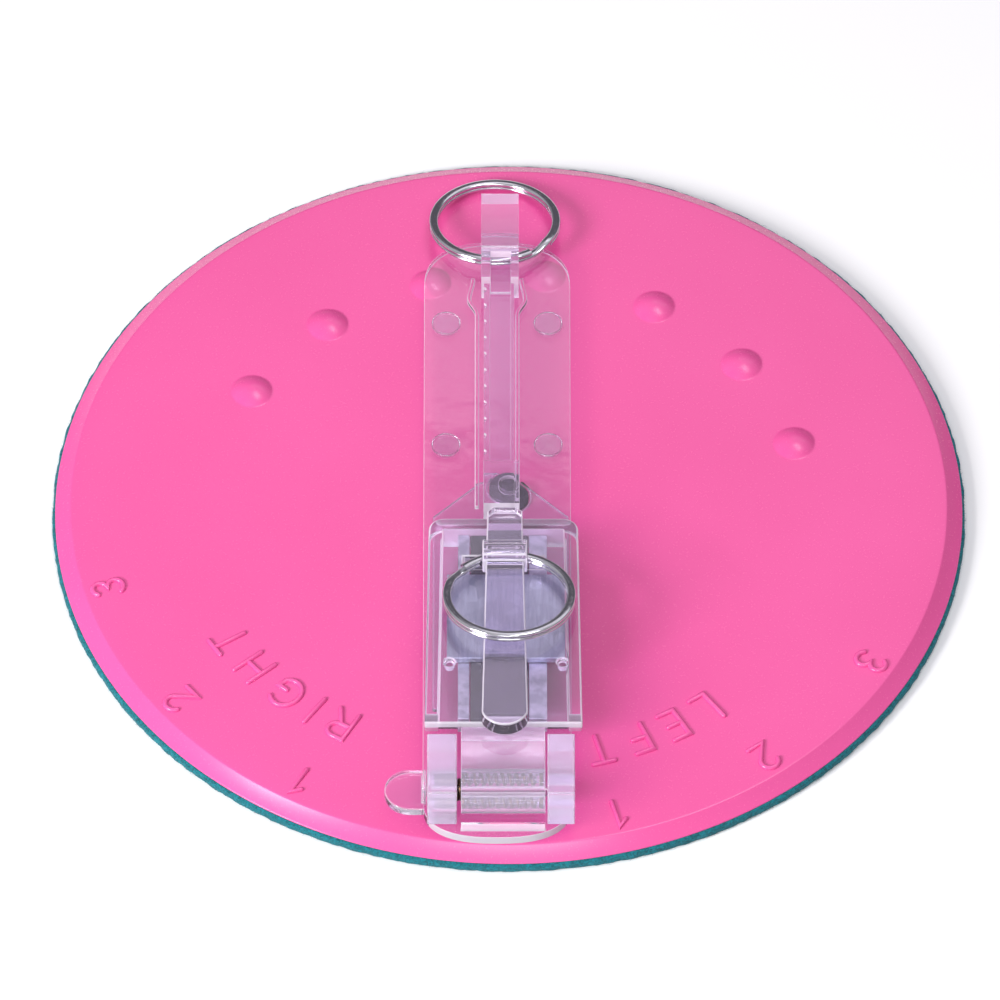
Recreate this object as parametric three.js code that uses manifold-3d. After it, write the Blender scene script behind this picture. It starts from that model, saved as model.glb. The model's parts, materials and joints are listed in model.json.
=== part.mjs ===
// Indexed swivel clamp: a clear sprung arm that turns over a round base plate with index marks.
// Millimetres, +Z up. The origin is the centre of the felt pad's underside, and +Y runs along the
// arm at rest, from its hinge towards the far pull ring.
import * as THREE from "three";
import { mergeVertices } from "three/addons/utils/BufferGeometryUtils.js";
import Module from "manifold-3d";

const wasm = await Module();
wasm.setup();

// Driving dimensions

const fit = 0.1; // gap between pieces that lie against each other
const deg = Math.PI / 180;

const base = {
  radius: 68.2,
  feltRadius: 68.75,
  feltTop: 1.5,
  top: 3.3,
  edgeHeight: 0.2,
  bevelWidth: 2.45,
  sides: 96,
};
const index = {
  zeroTurn: -7.15 * deg, // of the scale's zero line from the arm's rest line, seen from above
  step: 22.5 * deg,
  steps: 3,
};
const dome = { radius: 3.1, height: 0.9, pitchRadius: 44.6 };
const mark = {
  raise: 0.35,
  sink: 0.3,
  stroke: 0.5,
  numberHeight: 4.8,
  numberFoot: 59.8,
  letterHeight: 5.2,
  letterFoot: 47,
  letterSpace: 3.25,
  wordTurn: 35.3 * deg,
};
const pivot = {
  shank: 1.4,
  shankTop: 5.6,
  headRadius: 3,
  headBottom: 0.4,
  washerRadius: 3,
  bore: 1.5,
};
const plate = {
  centre: -1.75,
  width: 22.1,
  bottom: 4.4,
  top: 5.9,
  farEnd: 49.5,
  farRound: 9, // length over which the far end rounds off
  nearEnd: -66.7,
  nearRound: 7,
  squareness: 2.5, // power of the superellipse that rounds the ends
};
const foot = { radius: 2.2, across: 15.4, near: 10.3, far: 34.3, edge: 0.3 };
const spacer = { centre: -1.2, halfTop: 3.1, topY: 2.9, halfWidth: 10.2, shoulderY: -3.9, endY: -44.5 };
const rail = { centre: -1.75, spread: 3.05, width: 0.5, height: 0.6, near: -3.2 };
const bow = { start: 34.6, peak: 37.8, end: 41.8, reach: 1.2, endShare: 0.5 }; // each rail's spring finger
const hinge = { y: -59.22, z: 8, bore: 1.87, pinBore: 1.1 };
const block = { nearY: -64.3, farY: -52.9, top: 13.5, left: [-12.15, -7.7], right: [5.7, 9.8] };
const lip = { nearY: -65.4, farY: -64.9, top: 7.4 };
const pin = {
  radius: 1,
  rightEnd: 9.3,
  flangeRadius: 2.6,
  flangeRise: 0.6, // of the flange's centre above the pin's axis
  flange: [-12.85, -12.25],
  tabLength: 5.65,
  tabWidth: 7.6,
  tabBottom: 6.55,
  tabTop: 8.05,
};
const collar = { radius: 1.75, left: 4.5, right: 5.1 };
const spring = { wire: 0.24, radius: 1.5, left: -11.3, right: 4.35, closeTurns: 6, openTurns: 11 };
const barrel = {
  left: -7.1,
  right: 5.4,
  farY: -51.06,
  top: 13.5,
  neckY: -56.1,
  neckTop: 12.85,
  heel: 0.55, // the level underside ends this far nearer than the axis
  heelBend: 1.3,
};
const hood = {
  centre: -0.8,
  nearY: -51.55,
  nearZ: 14.24,
  slope: 4.09 * deg,
  length: 42.2,
  halfNear: 11.75,
  halfFar: 11.2,
  top: 1.1,
  wall: 2,
  endShare: 0.75, // the far wall is this much as thick as the side walls
  lift: 30 * deg, // how far it opens
  wallSlant: 0.84, // the side walls' near ends lean back by this much for each millimetre down
  corner: 2.4,
  bottomZ: 6,
};
const post = { radius: 0.8, length: 1.6, inset: 0.4 };
const rib = { height: 2.5, halfNear: 3.45, halfFar: 2.65, centre: 0.2, noseLength: 2.6, chamfer: 0.9 };
const bridge = { near: 30.8, far: 34.8, top: 3.6, taper: 0.4, holeY: 33, holeZ: 1.2, hole: 1.8 };
const magnet = { left: -4.95, right: 3.7, near: 2.75, far: 40.55, top: -2.45, bottom: -4.25 };
const strip = { left: [-6.8, -5.05], right: [3.8, 6.5], bottom: -4.9 };
const keeper = { left: -8.45, right: 9.2, near: 14.05, far: 31.35, top: -1.3, bottom: -2.35 };
const slider = {
  left: -3.75,
  right: 0.8,
  leftWall: 0.9,
  rightWall: 0.5,
  bottom: 6.05,
  floorTop: 6.95,
  wallTop: 9.5,
  top: 11,
  blockLeft: -3.8,
  blockRight: 1.58,
  blockNear: -6.35,
  blockFar: 2.05,
  blockSlant: 1.6,
  blockBottom: 6.7,
  headLeft: -4.15,
  headRight: 1.5,
  headNear: 38.2,
  headFar: 55.15,
  headChamfer: 0.4,
};
const notch = { pitch: 3.2, radius: 0.4, width: 1, first: 3 }; // first: distance from the thumb block
const headSlot = { left: -2.75, right: 0.3, far: 43.3, bottom: 7.5 };
const ring = { mean: 9.3, band: 1.35, thickness: 1.4, sides: 48 };
const farRing = { x: -2.1, y: 44.05, z: 8.1, tilt: -11.8 * deg, hole: 1.65 };
const nearRing = { x: 0.85, tilt: -7 * deg };

// Materials

function finish(color, roughness, metalness, opacity = 1) {
  return new THREE.MeshStandardMaterial({
    color,
    roughness,
    metalness,
    opacity,
    transparent: opacity < 1,
  });
}

const felt = finish(0x17808a, 0.95, 0);
const pinkPlastic = finish(0xff6bb0, 0.38, 0);
const clearPlastic = finish(0xe6dcf2, 0.08, 0, 0.35);
const blackSteel = finish(0x3a3140, 0.4, 0.9);
const springSteel = finish(0xb7a894, 0.35, 1);
const ferrite = finish(0x5a5468, 0.6, 0.2);
const poleSteel = finish(0xa8a9b4, 0.4, 0.9);
const zincSteel = finish(0xb4bfcc, 0.45, 0.9);
const nickel = finish(0xc9c6c4, 0.15, 1);

// Solids

function solidOf(geometry) {
  const bare = geometry.clone();
  bare.deleteAttribute("normal");
  bare.deleteAttribute("uv");
  const merged = mergeVertices(bare, 1e-4);
  return new wasm.Manifold(
    new wasm.Mesh({
      numProp: 3,
      vertProperties: merged.attributes.position.array,
      triVerts: new Uint32Array(merged.index.array),
    }),
  );
}

function geometryOf(solid) {
  const mesh = solid.getMesh();
  const geometry = new THREE.BufferGeometry();
  geometry.setAttribute("position", new THREE.BufferAttribute(mesh.vertProperties, 3));
  geometry.setIndex(new THREE.BufferAttribute(mesh.triVerts, 1));
  const faceted = geometry.toNonIndexed();
  faceted.computeVertexNormals();
  return faceted;
}

function join(geometries) {
  return geometries.map(solidOf).reduce((whole, next) => whole.add(next));
}

function box([x0, x1], [y0, y1], [z0, z1]) {
  return new THREE.BoxGeometry(x1 - x0, y1 - y0, z1 - z0).translate(
    (x0 + x1) / 2,
    (y0 + y1) / 2,
    (z0 + z1) / 2,
  );
}

// A plan outline drawn in X and Y, raised from z0 to z1.
function slab(outline, z0, z1, curveSegments = 12) {
  const settings = { depth: z1 - z0, bevelEnabled: false, curveSegments };
  return new THREE.ExtrudeGeometry(outline, settings).translate(0, 0, z0);
}

// A side outline drawn in Y and Z, run along X from x0 to x1.
function bar(points, x0, x1) {
  const outline = new THREE.Shape(points.map(([y, z]) => new THREE.Vector2(y, z)));
  const geometry = new THREE.ExtrudeGeometry(outline, { depth: x1 - x0, bevelEnabled: false });
  return geometry.rotateY(Math.PI / 2).rotateX(Math.PI / 2).translate(x0, 0, 0);
}

// A solid of revolution about Z from a closed profile of [radius, z] points.
function turned(profile, sides) {
  const points = profile.map(([r, z]) => new THREE.Vector2(r, z));
  return new THREE.LatheGeometry(points, sides).rotateX(Math.PI / 2);
}

function rod(radius, x0, x1, y, z, sides = 24) {
  return new THREE.CylinderGeometry(radius, radius, x1 - x0, sides)
    .rotateZ(Math.PI / 2)
    .translate((x0 + x1) / 2, y, z);
}

function part(name, geometry, material) {
  const mesh = new THREE.Mesh(geometry, material);
  mesh.name = name;
  return mesh;
}

// Base: felt pad, indexed disc, pivot screw and washer

function feltPad() {
  const hole = pivot.headRadius + 0.4;
  const outline = [
    [hole, 0],
    [base.feltRadius, 0],
    [base.feltRadius, base.feltTop],
    [hole, base.feltTop],
    [hole, 0],
  ];
  return part("felt_pad", turned(outline, base.sides), felt);
}

function arc(cx, cy, rx, ry, from, to, steps = 7) {
  return Array.from({ length: steps + 1 }, (_, i) => {
    const angle = (from + ((to - from) * i) / steps) * deg;
    return [cx + rx * Math.cos(angle), cy + ry * Math.sin(angle)];
  });
}

// Each sign is a width and its strokes, on a unit height.
const signs = {
  R: [0.6, [[[0, 0], [0, 1], ...arc(0.33, 0.75, 0.25, 0.25, 90, -90), [0, 0.5]], [[0.3, 0.5], [0.6, 0]]]],
  I: [0, [[[0, 0], [0, 1]]]],
  G: [0.8, [[...arc(0.42, 0.5, 0.42, 0.5, 48, 318, 11), [0.76, 0.42], [0.48, 0.42]]]],
  H: [0.62, [[[0, 0], [0, 1]], [[0.62, 0], [0.62, 1]], [[0, 0.5], [0.62, 0.5]]]],
  T: [0.62, [[[0.31, 0], [0.31, 1]], [[0, 1], [0.62, 1]]]],
  L: [0.5, [[[0, 1], [0, 0], [0.5, 0]]]],
  E: [0.5, [[[0.5, 1], [0, 1], [0, 0], [0.5, 0]], [[0, 0.5], [0.42, 0.5]]]],
  F: [0.5, [[[0.5, 1], [0, 1], [0, 0]], [[0, 0.5], [0.42, 0.5]]]],
  1: [0.24, [[[0, 0.76], [0.24, 1], [0.24, 0]]]],
  2: [0.56, [[...arc(0.28, 0.72, 0.28, 0.28, 165, -30), [0, 0], [0.56, 0]]]],
  3: [0.54, [[...arc(0.27, 0.76, 0.24, 0.24, 150, -90), ...arc(0.27, 0.27, 0.27, 0.25, 90, -150)]]],
};

// The raised strokes of one sign, standing on the disc with its head outwards.
function raisedSign(name, height, footRadius, angle) {
  const [width, strokes] = signs[name];
  const bars = [];
  for (const stroke of strokes) {
    for (let i = 1; i < stroke.length; i += 1) {
      const start = new THREE.Vector2((stroke[i - 1][0] - width / 2) * height, stroke[i - 1][1] * height);
      const end = new THREE.Vector2((stroke[i][0] - width / 2) * height, stroke[i][1] * height);
      const run = end.clone().sub(start);
      if (run.length() < 0.05) continue;
      const bar = box(
        [-mark.stroke / 2, run.length() + mark.stroke / 2],
        [-mark.stroke / 2, mark.stroke / 2],
        [base.top - mark.sink, base.top + mark.raise],
      );
      bars.push(bar.rotateZ(run.angle()).translate(start.x, start.y + footRadius, 0));
    }
  }
  return join(bars.map((bar) => bar.rotateZ(angle - Math.PI / 2)));
}

function raisedWord(word, angle) {
  const widths = [...word].map((letter) => signs[letter][0] * mark.letterHeight);
  const length = widths.reduce((sum, w) => sum + w, 0) + mark.letterSpace * (word.length - 1);
  const middle = mark.letterFoot + mark.letterHeight / 2;
  let along = -length / 2;
  return [...word].map((letter, i) => {
    const at = along + widths[i] / 2;
    along += widths[i] + mark.letterSpace;
    return raisedSign(letter, mark.letterHeight, mark.letterFoot, angle - at / middle);
  });
}

function indexDisc() {
  const profile = [
    [pivot.bore, base.feltTop],
    [base.radius, base.feltTop],
    [base.radius, base.feltTop + base.edgeHeight],
    [base.radius - base.bevelWidth, base.top],
    [pivot.bore, base.top],
    [pivot.bore, base.feltTop],
  ];
  let disc = solidOf(turned(profile, base.sides));
  const capRadius = (dome.radius ** 2 + dome.height ** 2) / (2 * dome.height);
  const capAngle = Math.asin(dome.radius / capRadius) / deg;
  const cap = arc(0, base.top + dome.height - capRadius, capRadius, capRadius, 90 - capAngle, 90, 4);
  cap[4][0] = 0;
  const domeProfile = [[0, base.top - mark.sink], [dome.radius, base.top - mark.sink], ...cap];
  const farZero = Math.PI / 2 + index.zeroTurn;
  const nearZero = farZero + Math.PI;
  for (let n = -index.steps; n <= index.steps; n += 1) {
    const angle = farZero + n * index.step;
    const at = [dome.pitchRadius * Math.cos(angle), dome.pitchRadius * Math.sin(angle), 0];
    disc = disc.add(solidOf(turned(domeProfile, 20).translate(...at)));
    if (n !== 0) {
      const number = String(Math.abs(n));
      disc = disc.add(raisedSign(number, mark.numberHeight, mark.numberFoot, nearZero + n * index.step));
    }
  }
  for (const sign of raisedWord("RIGHT", nearZero - mark.wordTurn)) disc = disc.add(sign);
  for (const sign of raisedWord("LEFT", nearZero + mark.wordTurn)) disc = disc.add(sign);
  return part("index_disc", geometryOf(disc), pinkPlastic);
}

function pivotScrew() {
  const profile = [
    [0, pivot.headBottom],
    [pivot.headRadius, pivot.headBottom],
    [pivot.headRadius, base.feltTop - fit],
    [pivot.shank, base.feltTop - fit],
    [pivot.shank, pivot.shankTop],
    [0, pivot.shankTop],
  ];
  return part("pivot_screw", turned(profile, 24), blackSteel);
}

function pivotWasher() {
  const bottom = base.top + fit / 2;
  const top = plate.bottom - fit;
  const profile = [
    [pivot.bore, bottom],
    [pivot.washerRadius, bottom],
    [pivot.washerRadius, top],
    [pivot.bore, top],
    [pivot.bore, bottom],
  ];
  return part("pivot_washer", turned(profile, 32), blackSteel);
}

// Swivel arm: plate with rails and stop lip, spacer, feet and hinge blocks

// The plate seen from above: straight sides, and ends rounded off as superellipses.
function plateOutline() {
  const half = plate.width / 2;
  const steps = 28;
  const power = 2 / plate.squareness;
  const swell = (share) => Math.sign(share) * Math.abs(share) ** power;
  const end = (y, round, from) =>
    Array.from({ length: steps + 1 }, (_, i) => {
      const angle = from + (i / steps) * Math.PI;
      return new THREE.Vector2(plate.centre + half * swell(Math.cos(angle)), y + round * swell(Math.sin(angle)));
    });
  const farEnd = end(plate.farEnd - plate.farRound, plate.farRound, 0);
  const nearEnd = end(plate.nearEnd + plate.nearRound, plate.nearRound, Math.PI);
  return new THREE.Shape([...farEnd, ...nearEnd]);
}

// One rail seen from above: straight, ending in a short finger bowed round the slider's head.
function railOutline(side) {
  const steps = 16;
  const reach = (y) => {
    if (y < bow.start) return 0;
    if (y < bow.peak) return bow.reach * Math.sin(((y - bow.start) / (bow.peak - bow.start)) * 90 * deg) ** 2;
    const fall = ((y - bow.peak) / (bow.end - bow.peak)) * 90 * deg;
    return bow.reach * (bow.endShare + (1 - bow.endShare) * Math.cos(fall) ** 2);
  };
  const stations = [rail.near];
  for (let i = 0; i <= steps; i += 1) stations.push(bow.start + ((bow.end - bow.start) * i) / steps);
  const x = (y, offset) => rail.centre + side * (rail.spread + reach(y)) + offset;
  const leftEdge = stations.map((y) => new THREE.Vector2(x(y, -rail.width / 2), y));
  const rightEdge = stations.map((y) => new THREE.Vector2(x(y, rail.width / 2), y)).reverse();
  return new THREE.Shape([...leftEdge, ...rightEdge]);
}

function swivelPlate() {
  const outline = plateOutline();
  outline.holes.push(new THREE.Path().absarc(0, 0, pivot.bore, 0, Math.PI * 2, true));
  const rails = [-1, 1].map((side) => slab(railOutline(side), plate.top - mark.sink, plate.top + rail.height));
  const stop = box([barrel.left, barrel.right], [lip.nearY, lip.farY], [plate.top - mark.sink, lip.top]);
  const body = join([slab(outline, plate.bottom, plate.top, 20), ...rails, stop]);
  return part("swivel_plate", geometryOf(body), clearPlastic);
}

function pivotSpacer() {
  const outline = new THREE.Shape();
  const left = spacer.centre - spacer.halfWidth;
  const right = spacer.centre + spacer.halfWidth;
  outline.moveTo(spacer.centre - spacer.halfTop, spacer.topY);
  outline.lineTo(left, spacer.shoulderY);
  outline.lineTo(left, spacer.endY);
  outline.lineTo(right, spacer.endY);
  outline.lineTo(right, spacer.shoulderY);
  outline.lineTo(spacer.centre + spacer.halfTop, spacer.topY);
  const sheet = solidOf(slab(outline, base.top + fit, plate.bottom - fit / 2));
  const eye = new THREE.CylinderGeometry(pivot.washerRadius + 0.2, pivot.washerRadius + 0.2, 6, 32)
    .rotateX(Math.PI / 2)
    .translate(0, 0, plate.bottom);
  return part("pivot_spacer", geometryOf(sheet.subtract(solidOf(eye))), clearPlastic);
}

function plateFeet() {
  const feet = [];
  for (const y of [foot.near, foot.far]) {
    for (const side of [-1, 1]) {
      const bottom = base.top + fit;
      const top = plate.bottom - fit / 2;
      const profile = [
        [0, bottom],
        [foot.radius - foot.edge, bottom],
        [foot.radius, bottom + foot.edge],
        [foot.radius, top],
        [0, top],
      ];
      const x = plate.centre + (side * foot.across) / 2;
      const name = `plate_foot_${y === foot.near ? "inner" : "outer"}_${side < 0 ? "left" : "right"}`;
      feet.push(part(name, turned(profile, 24).translate(x, y, 0), clearPlastic));
    }
  }
  return feet;
}

function hingeBlock(name, [x0, x1], springEnd) {
  const outline = [
    [block.nearY, plate.top + fit / 2],
    [block.farY, plate.top + fit / 2],
    [block.farY, block.top],
    [block.nearY, block.top],
  ];
  let body = solidOf(bar(outline, x0, x1));
  body = body.subtract(solidOf(rod(hinge.pinBore, x0 - 1, x1 + 1, hinge.y, hinge.z)));
  if (springEnd !== undefined) {
    body = body.subtract(solidOf(rod(hinge.bore, springEnd, x1 + 1, hinge.y, hinge.z)));
  }
  return part(name, geometryOf(body), clearPlastic);
}

// Hinge pin with its thumb tab, collar and spring

function hingePin() {
  const shaft = rod(pin.radius, pin.flange[0], pin.rightEnd, hinge.y, hinge.z);
  const flange = rod(pin.flangeRadius, ...pin.flange, hinge.y, hinge.z + pin.flangeRise, 32);
  const half = pin.tabWidth / 2;
  const outline = new THREE.Shape();
  outline.moveTo(pin.flange[0] + 0.3, hinge.y + half);
  outline.lineTo(pin.flange[0] - pin.tabLength + half, hinge.y + half);
  outline.absarc(pin.flange[0] - pin.tabLength + half, hinge.y, half, Math.PI / 2, (Math.PI * 3) / 2);
  outline.lineTo(pin.flange[0] + 0.3, hinge.y - half);
  const tab = slab(outline, pin.tabBottom, pin.tabTop, 16);
  return part("hinge_pin", geometryOf(join([shaft, flange, tab])), clearPlastic);
}

function pinCollar() {
  const outer = solidOf(rod(collar.radius, collar.left, collar.right, hinge.y, hinge.z));
  const inner = solidOf(rod(pin.radius + 0.04, collar.left - 1, collar.right + 1, hinge.y, hinge.z));
  return part("pin_collar", geometryOf(outer.subtract(inner)), springSteel);
}

// A coil along X: close turns at the left end, open turns to the right.
class CoilCurve extends THREE.Curve {
  getPoint(t, target = new THREE.Vector3()) {
    const turns = spring.closeTurns + spring.openTurns;
    const turn = t * turns;
    const closeLength = spring.closeTurns * spring.wire * 2.15;
    const openLength = spring.right - spring.left - 2 * spring.wire - closeLength;
    const close = Math.min(turn, spring.closeTurns) / spring.closeTurns;
    const open = Math.max(turn - spring.closeTurns, 0) / spring.openTurns;
    return target.set(
      spring.left + spring.wire + closeLength * close + openLength * open,
      hinge.y + spring.radius * Math.cos(turn * Math.PI * 2),
      hinge.z + spring.radius * Math.sin(turn * Math.PI * 2),
    );
  }
}

function pinSpring() {
  const section = new THREE.Shape();
  section.absarc(0, 0, spring.wire, 0, Math.PI * 2);
  const steps = (spring.closeTurns + spring.openTurns) * 12;
  const settings = { steps, extrudePath: new CoilCurve(), curveSegments: 3 };
  return part("pin_spring", new THREE.ExtrudeGeometry(section, settings), springSteel);
}

// Hood: everything is drawn level and turned with the hood's slope

function hoodShell() {
  const depth = 14; // deeper than the walls, which are cut level with the plate
  const outline = (inset, nearInset) => {
    const halfNear = hood.halfNear - inset;
    const halfFar = hood.halfFar - inset;
    const far = hood.length - inset * hood.endShare;
    const corner = Math.max(hood.corner - inset, 0.4);
    const shape = new THREE.Shape();
    shape.moveTo(-halfNear, nearInset);
    shape.lineTo(halfNear, nearInset);
    shape.lineTo(halfFar, far - corner);
    shape.absarc(halfFar - corner, far - corner, corner, 0, Math.PI / 2);
    shape.absarc(-halfFar + corner, far - corner, corner, Math.PI / 2, Math.PI);
    shape.closePath();
    return shape;
  };
  const roof = slab(outline(0, 0), -hood.top, 0, 6);
  const skirt = solidOf(slab(outline(0, 0), -depth, -hood.top / 2, 6));
  const inside = solidOf(slab(outline(hood.wall, -1), -depth - 1, -hood.top, 6));
  const slant = bar(
    [
      [-1, -hood.top],
      [0, -hood.top],
      [hood.wallSlant * depth, -hood.top - depth],
      [-1, -hood.top - depth],
    ],
    -hood.halfNear - 1,
    hood.halfNear + 1,
  );
  const flatten = new THREE.BoxGeometry(60, 120, 20);
  flatten.translate(0, -hood.nearY, hood.bottomZ - hood.nearZ - 10);
  flatten.rotateX(hood.slope);
  const posts = [keeper.left + post.inset, keeper.right - post.inset].map((x) =>
    new THREE.CylinderGeometry(post.radius, post.radius, post.length, 16)
      .rotateX(Math.PI / 2)
      .translate(x, keeper.near - post.radius - 2 * fit, -hood.top - post.length / 2 + mark.sink),
  );
  const hole = rod(bridge.hole, -6, 6, bridge.holeY, bridge.holeZ);
  const body = join([roof])
    .add(skirt.subtract(inside).subtract(solidOf(slant)))
    .add(join(posts))
    .subtract(solidOf(flatten))
    .subtract(solidOf(hole));
  return part("hood_shell", geometryOf(body), clearPlastic);
}

function hoodRib() {
  const nose = (rib.halfNear ** 2 + rib.noseLength ** 2) / (2 * rib.noseLength);
  const sweep = Math.asin(rib.halfNear / nose);
  const outline = new THREE.Shape();
  outline.absarc(0, nose - rib.noseLength, nose, -Math.PI / 2 - sweep, -Math.PI / 2 + sweep);
  outline.lineTo(rib.halfFar, hood.length - rib.chamfer);
  outline.lineTo(rib.halfFar - rib.chamfer, hood.length);
  outline.lineTo(-rib.halfFar + rib.chamfer, hood.length);
  outline.lineTo(-rib.halfFar, hood.length - rib.chamfer);
  outline.closePath();
  const strip = slab(outline, fit / 2, rib.height, 10);
  const roofed = bar(
    [
      [bridge.near, fit / 2],
      [bridge.far, fit / 2],
      [bridge.far - bridge.taper, bridge.top],
      [bridge.near + bridge.taper, bridge.top],
    ],
    -rib.halfNear + 0.1,
    rib.halfNear - 0.1,
  );
  const hole = rod(bridge.hole, -6, 6, bridge.holeY, bridge.holeZ);
  const body = join([strip, roofed]).subtract(solidOf(hole));
  const mesh = part("hood_rib", geometryOf(body), clearPlastic);
  mesh.position.x = rib.centre;
  return mesh;
}

function hingeBarrel() {
  const bottom = plate.top + fit;
  // Lowest a point can lie, this far nearer than the axis, and still clear the plate at full lift.
  const lowest = (reach) => hinge.z + (bottom - hinge.z + reach * Math.sin(hood.lift)) / Math.cos(hood.lift);
  const nearReach = hinge.y - block.nearY;
  const outline = [
    [hinge.y - barrel.heel, bottom],
    [barrel.farY, bottom],
    [barrel.farY, barrel.neckTop],
    [hood.nearY - 0.1, barrel.neckTop],
    [barrel.neckY, barrel.top],
    [block.nearY, barrel.top],
    [block.nearY, lowest(nearReach)],
    [hinge.y - barrel.heelBend, lowest(barrel.heelBend)],
  ];
  const body = solidOf(bar(outline, barrel.left, barrel.right));
  const bore = solidOf(rod(hinge.bore, barrel.left - 1, barrel.right + 1, hinge.y, hinge.z));
  return part("hinge_barrel", geometryOf(body.subtract(bore)), clearPlastic);
}

function magnetSet() {
  const run = [magnet.near, magnet.far];
  const depth = [strip.bottom, magnet.top];
  const bar = box([magnet.left, magnet.right], run, [magnet.bottom, magnet.top]);
  const cover = box([keeper.left, keeper.right], [keeper.near, keeper.far], [keeper.bottom, keeper.top]);
  return [
    part("magnet_bar", bar, ferrite),
    part("pole_strip_left", box(strip.left, run, depth), poleSteel),
    part("pole_strip_right", box(strip.right, run, depth), poleSteel),
    part("keeper_plate", cover, zincSteel),
  ];
}

// Slider: a channel between a ring head and a thumb block

function pullSlider() {
  const floor = box(
    [slider.left, slider.right],
    [slider.blockNear, slider.headFar],
    [slider.bottom, slider.floorTop],
  );
  const walls = [
    [slider.left, slider.left + slider.leftWall],
    [slider.right - slider.rightWall, slider.right],
  ].map((x) => box(x, [slider.blockFar - 1, slider.headNear + 1], [slider.floorTop - 0.2, slider.wallTop]));
  const thumbBlock = bar(
    [
      [slider.blockNear, slider.blockBottom],
      [slider.blockFar + slider.blockSlant, slider.blockBottom],
      [slider.blockFar, slider.top],
      [slider.blockNear, slider.top],
    ],
    slider.blockLeft,
    slider.blockRight,
  );
  const head = bar(
    [
      [slider.headNear, slider.bottom],
      [slider.headFar, slider.bottom],
      [slider.headFar, slider.top - slider.headChamfer],
      [slider.headFar - slider.headChamfer, slider.top],
      [slider.headNear, slider.top],
    ],
    slider.headLeft,
    slider.headRight,
  );
  let body = join([floor, ...walls, thumbBlock, head]);
  const slot = box(
    [headSlot.left, headSlot.right],
    [slider.headNear - 1, headSlot.far],
    [headSlot.bottom, slider.top + 1],
  );
  const hole = rod(farRing.hole, slider.headLeft - 1, slider.headRight + 1, farRing.y, farRing.z);
  body = body.subtract(solidOf(slot)).subtract(solidOf(hole));
  for (let y = slider.blockFar + notch.first; y < slider.headNear - notch.width; y += notch.pitch) {
    const cut = new THREE.CylinderGeometry(notch.radius, notch.radius, notch.width, 8)
      .rotateX(Math.PI / 2)
      .translate(slider.left, y, slider.wallTop);
    body = body.subtract(solidOf(cut));
  }
  return part("pull_slider", geometryOf(body), clearPlastic);
}

// Split rings: two turns lying on each other, closed here to one rounded band

function splitRing(name) {
  const halfBand = ring.band / 2;
  const halfThick = ring.thickness / 2;
  const round = 0.35;
  const profile = [
    [-halfBand + round, -halfThick],
    [halfBand - round, -halfThick],
    [halfBand, -halfThick + round],
    [halfBand, halfThick - round],
    [halfBand - round, halfThick],
    [-halfBand + round, halfThick],
    [-halfBand, halfThick - round],
    [-halfBand, -halfThick + round],
    [-halfBand + round, -halfThick],
  ].map(([r, z]) => [ring.mean + r, z]);
  return part(name, turned(profile, ring.sides), nickel);
}

function placedFarRing() {
  const pivotGroup = new THREE.Group();
  pivotGroup.position.set(farRing.x, farRing.y, farRing.z);
  pivotGroup.rotation.x = farRing.tilt;
  const mesh = splitRing("far_ring");
  mesh.position.y = ring.mean;
  pivotGroup.add(mesh);
  return pivotGroup;
}

function placedNearRing() {
  const pivotGroup = new THREE.Group();
  pivotGroup.position.set(nearRing.x, bridge.holeY, bridge.holeZ);
  pivotGroup.rotation.x = nearRing.tilt;
  const mesh = splitRing("near_ring");
  mesh.position.y = -ring.mean;
  pivotGroup.add(mesh);
  return pivotGroup;
}

// Assembly

const clamp = new THREE.Group();
clamp.add(feltPad(), indexDisc(), pivotScrew(), pivotWasher());
clamp.add(swivelPlate(), pivotSpacer(), ...plateFeet());
clamp.add(hingeBlock("hinge_block_left", block.left, spring.left - 0.3));
clamp.add(hingeBlock("hinge_block_right", block.right));
clamp.add(hingePin(), pinCollar(), pinSpring(), hingeBarrel());

const hoodFrame = new THREE.Group();
hoodFrame.position.set(hood.centre, hood.nearY, hood.nearZ);
hoodFrame.rotation.x = -hood.slope;
hoodFrame.add(hoodShell(), hoodRib(), ...magnetSet(), placedNearRing());
clamp.add(hoodFrame);

clamp.add(pullSlider(), placedFarRing());

export default clamp;
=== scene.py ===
import json
import math
import random

import bmesh
import bpy
from mathutils import Matrix, Vector


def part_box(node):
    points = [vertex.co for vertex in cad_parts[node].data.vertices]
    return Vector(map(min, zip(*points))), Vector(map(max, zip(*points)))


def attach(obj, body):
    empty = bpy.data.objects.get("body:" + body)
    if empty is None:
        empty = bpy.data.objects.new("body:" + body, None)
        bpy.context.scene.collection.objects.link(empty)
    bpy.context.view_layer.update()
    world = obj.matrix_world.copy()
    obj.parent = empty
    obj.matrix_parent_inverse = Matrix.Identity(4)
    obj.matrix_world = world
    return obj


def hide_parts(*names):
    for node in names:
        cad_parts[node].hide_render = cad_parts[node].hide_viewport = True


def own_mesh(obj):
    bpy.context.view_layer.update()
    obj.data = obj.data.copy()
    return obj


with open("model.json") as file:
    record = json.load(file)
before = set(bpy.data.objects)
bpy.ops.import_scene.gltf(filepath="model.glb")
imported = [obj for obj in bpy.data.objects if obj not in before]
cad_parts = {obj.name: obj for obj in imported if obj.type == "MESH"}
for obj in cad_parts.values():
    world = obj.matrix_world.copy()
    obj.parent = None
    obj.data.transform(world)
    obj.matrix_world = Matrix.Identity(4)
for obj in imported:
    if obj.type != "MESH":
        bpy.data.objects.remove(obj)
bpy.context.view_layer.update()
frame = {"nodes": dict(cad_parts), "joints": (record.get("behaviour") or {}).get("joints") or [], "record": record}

mm = 0.001
joints = {joint["name"]: joint for joint in frame["joints"]}
bodyOf = {name: body for body, names in frame["record"]["behaviour"]["bodies"].items() for name in names}


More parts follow.
